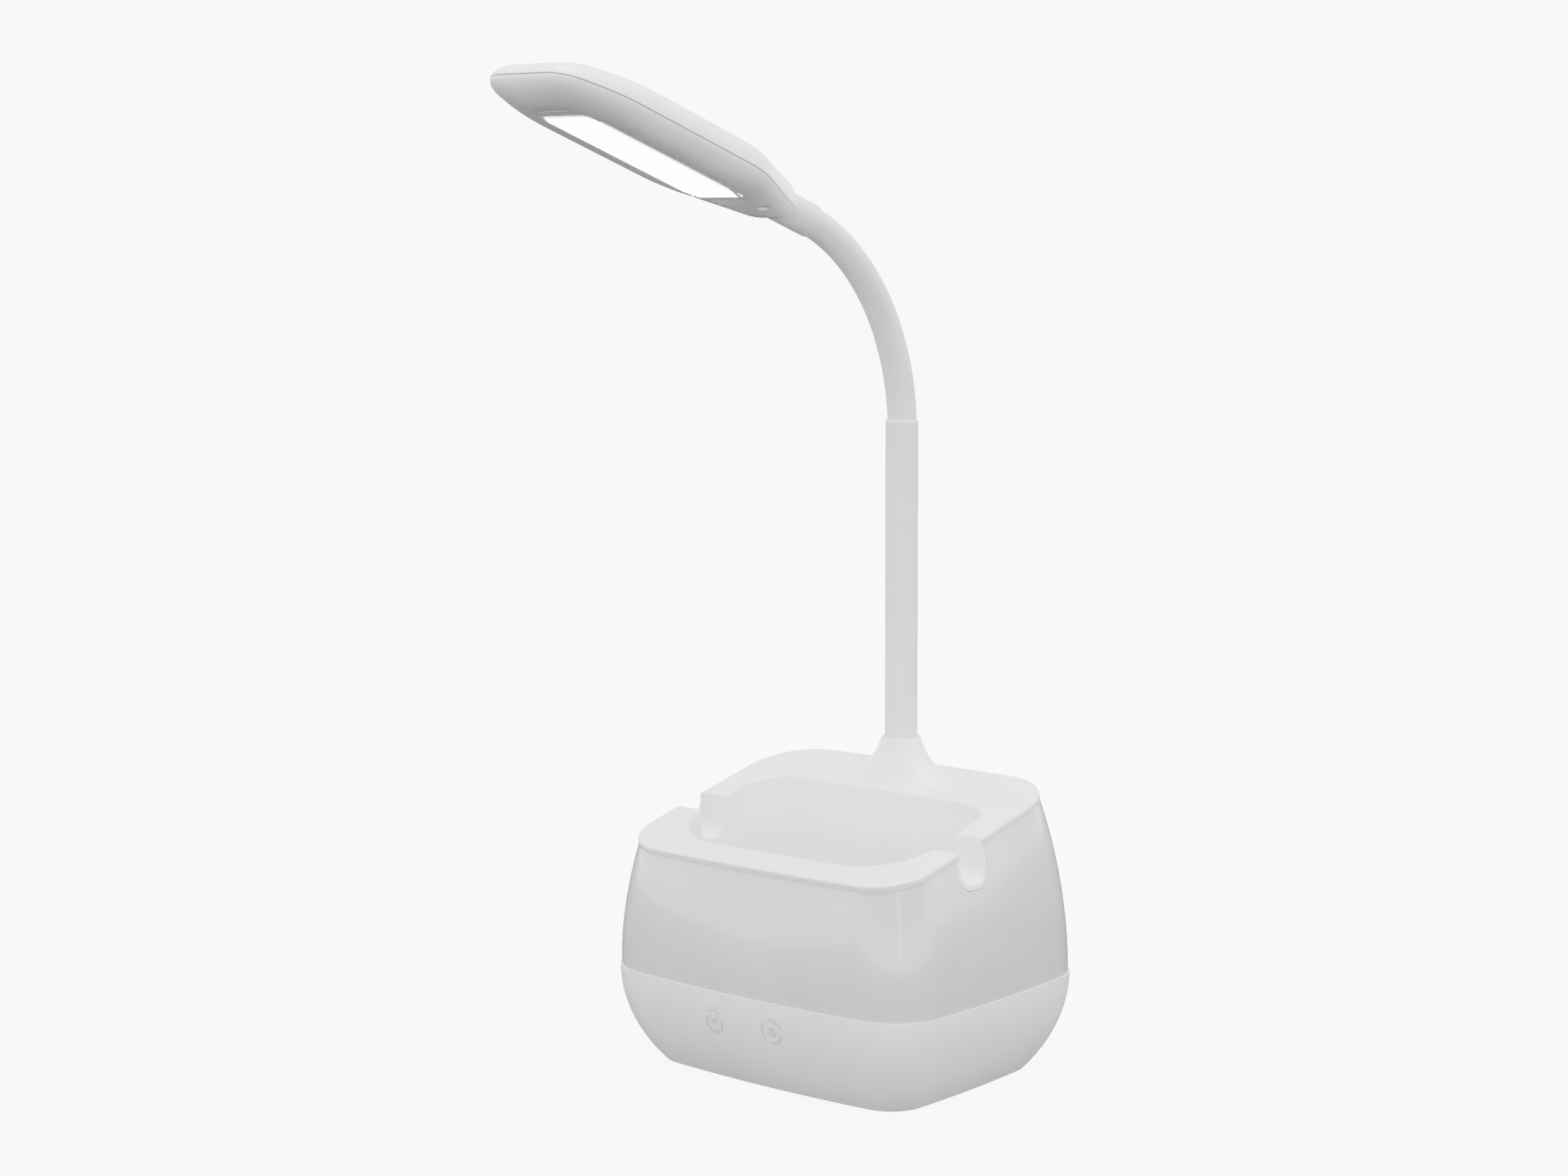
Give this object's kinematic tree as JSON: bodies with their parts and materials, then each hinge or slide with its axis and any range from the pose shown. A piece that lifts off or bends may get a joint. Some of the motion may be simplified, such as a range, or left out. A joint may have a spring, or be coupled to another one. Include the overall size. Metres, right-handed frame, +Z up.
{
  "type": "desk lamp",
  "caption": "Gooseneck desk lamp: white base with open pen tray and phone notches, translucent night-light shade and a flat LED head.",
  "frame": {"origin": "on the resting plane, under the middle of the base, at the centre of the rubber pad's underside", "axes": "+Z up, +X to the right as one faces the touch icons, -Y forward, where the head points"},
  "size_m": [0.146, 0.2193, 0.358],
  "materials": {
    "white_shell": "fine satin",
    "night_shade": "glossy, translucent milky white",
    "silicone_sleeve": "matte silicone",
    "hose_steel": "bright wound steel",
    "lit_panel": "opal, lit",
    "grip_rubber": "matte",
    "fastener_steel": "bright plated",
    "dark_screw": "black oxide",
    "weight_iron": "rough",
    "cell_wrap": "blue shrink wrap",
    "black_plastic": "satin",
    "inner_plastic": "satin white",
    "circuit_board": "solder resist green",
    "touch_copper": "bare metal",
    "led_lens": "yellow phosphor",
    "ferrule_brass": "turned"
  },
  "bodies": {
    "base": {"base_bowl": "white_shell", "base_pad": "grip_rubber", "base_screws": "fastener_steel", "counterweight": "weight_iron", "weight_screws": "fastener_steel", "battery_cell": "cell_wrap", "battery_holder": "black_plastic", "main_board": "circuit_board", "board_screws": "fastener_steel", "usb_inlet": "fastener_steel", "touch_pads": "touch_copper", "touch_board": "circuit_board", "chassis_plate": "inner_plastic", "night_light_board": "circuit_board", "night_leds": "led_lens", "light_shade": "night_shade", "top_tray": "white_shell", "tray_screws": "fastener_steel", "neck_stud": "fastener_steel", "neck_washer": "fastener_steel", "neck_nut": "fastener_steel", "lower_sleeve": "silicone_sleeve", "lower_hose": "hose_steel"},
    "neck_1": {"neck_sleeve_01": "silicone_sleeve", "neck_hose_01": "hose_steel"},
    "neck_2": {"neck_sleeve_02": "silicone_sleeve", "neck_hose_02": "hose_steel"},
    "neck_3": {"neck_sleeve_03": "silicone_sleeve", "neck_hose_03": "hose_steel"},
    "neck_4": {"neck_sleeve_04": "silicone_sleeve", "neck_hose_04": "hose_steel"},
    "neck_5": {"neck_sleeve_05": "silicone_sleeve", "neck_hose_05": "hose_steel"},
    "neck_6": {"neck_sleeve_06": "silicone_sleeve", "neck_hose_06": "hose_steel"},
    "neck_7": {"neck_sleeve_07": "silicone_sleeve", "neck_hose_07": "hose_steel"},
    "neck_8": {"neck_sleeve_08": "silicone_sleeve", "neck_hose_08": "hose_steel"},
    "neck_9": {"neck_sleeve_09": "silicone_sleeve", "neck_hose_09": "hose_steel"},
    "head": {"neck_sleeve_10": "silicone_sleeve", "neck_hose_10": "hose_steel", "neck_collar": "silicone_sleeve", "neck_ferrule": "ferrule_brass", "head_lower_shell": "white_shell", "head_upper_shell": "white_shell", "diffuser_panel": "lit_panel", "reflector_frame": "inner_plastic", "led_board": "circuit_board", "head_leds": "led_lens", "head_screws": "dark_screw"}
  },
  "joints": [
    {"name": "neck_bend_low", "type": "hinge", "parent": "base", "child": "neck_1", "pos_m": [0, 0.034, 0.2372], "axis": [1, 0, 0], "range_deg": [-12, 12]},
    {"name": "neck_sway", "type": "hinge", "parent": "neck_1", "child": "neck_2", "pos_m": [0, 0.03268, 0.2468], "axis": [0, 0.981, 0.1941], "range_deg": [-10, 10]},
    {"name": "neck_bend_2", "type": "hinge", "parent": "neck_2", "child": "neck_3", "pos_m": [0, 0.03025, 0.25617], "axis": [1, 0, 0], "range_deg": [-12, 12]},
    {"name": "neck_sway_2", "type": "hinge", "parent": "neck_3", "child": "neck_4", "pos_m": [0, 0.02674, 0.2652], "axis": [0, 0.9095, 0.4158], "range_deg": [-10, 10]},
    {"name": "neck_bend_3", "type": "hinge", "parent": "neck_4", "child": "neck_5", "pos_m": [0, 0.02221, 0.27376], "axis": [1, 0, 0], "range_deg": [-12, 12]},
    {"name": "neck_bend_high", "type": "hinge", "parent": "neck_5", "child": "neck_6", "pos_m": [0, 0.01671, 0.28173], "axis": [1, 0, 0], "range_deg": [-12, 12]},
    {"name": "neck_sway_3", "type": "hinge", "parent": "neck_6", "child": "neck_7", "pos_m": [0, 0.01031, 0.28901], "axis": [0, 0.7115, 0.7026], "range_deg": [-10, 10]},
    {"name": "neck_bend_5", "type": "hinge", "parent": "neck_7", "child": "neck_8", "pos_m": [0, 0.00312, 0.29549], "axis": [1, 0, 0], "range_deg": [-12, 12]},
    {"name": "neck_sway_4", "type": "hinge", "parent": "neck_8", "child": "neck_9", "pos_m": [0, -0.00479, 0.30109], "axis": [0, 0.5296, 0.8482], "range_deg": [-10, 10]},
    {"name": "neck_bend_6", "type": "hinge", "parent": "neck_9", "child": "head", "pos_m": [0, -0.01329, 0.30573], "axis": [1, 0, 0], "range_deg": [-12, 12]}
  ],
  "couplings": [
    {"joint": "neck_bend_2", "follows": "neck_bend_low", "ratio": 1},
    {"joint": "neck_bend_5", "follows": "neck_bend_high", "ratio": 1},
    {"joint": "neck_bend_6", "follows": "neck_bend_high", "ratio": 1},
    {"joint": "neck_sway_2", "follows": "neck_sway", "ratio": 1},
    {"joint": "neck_sway_3", "follows": "neck_sway", "ratio": 1},
    {"joint": "neck_sway_4", "follows": "neck_sway", "ratio": 1}
  ]
}
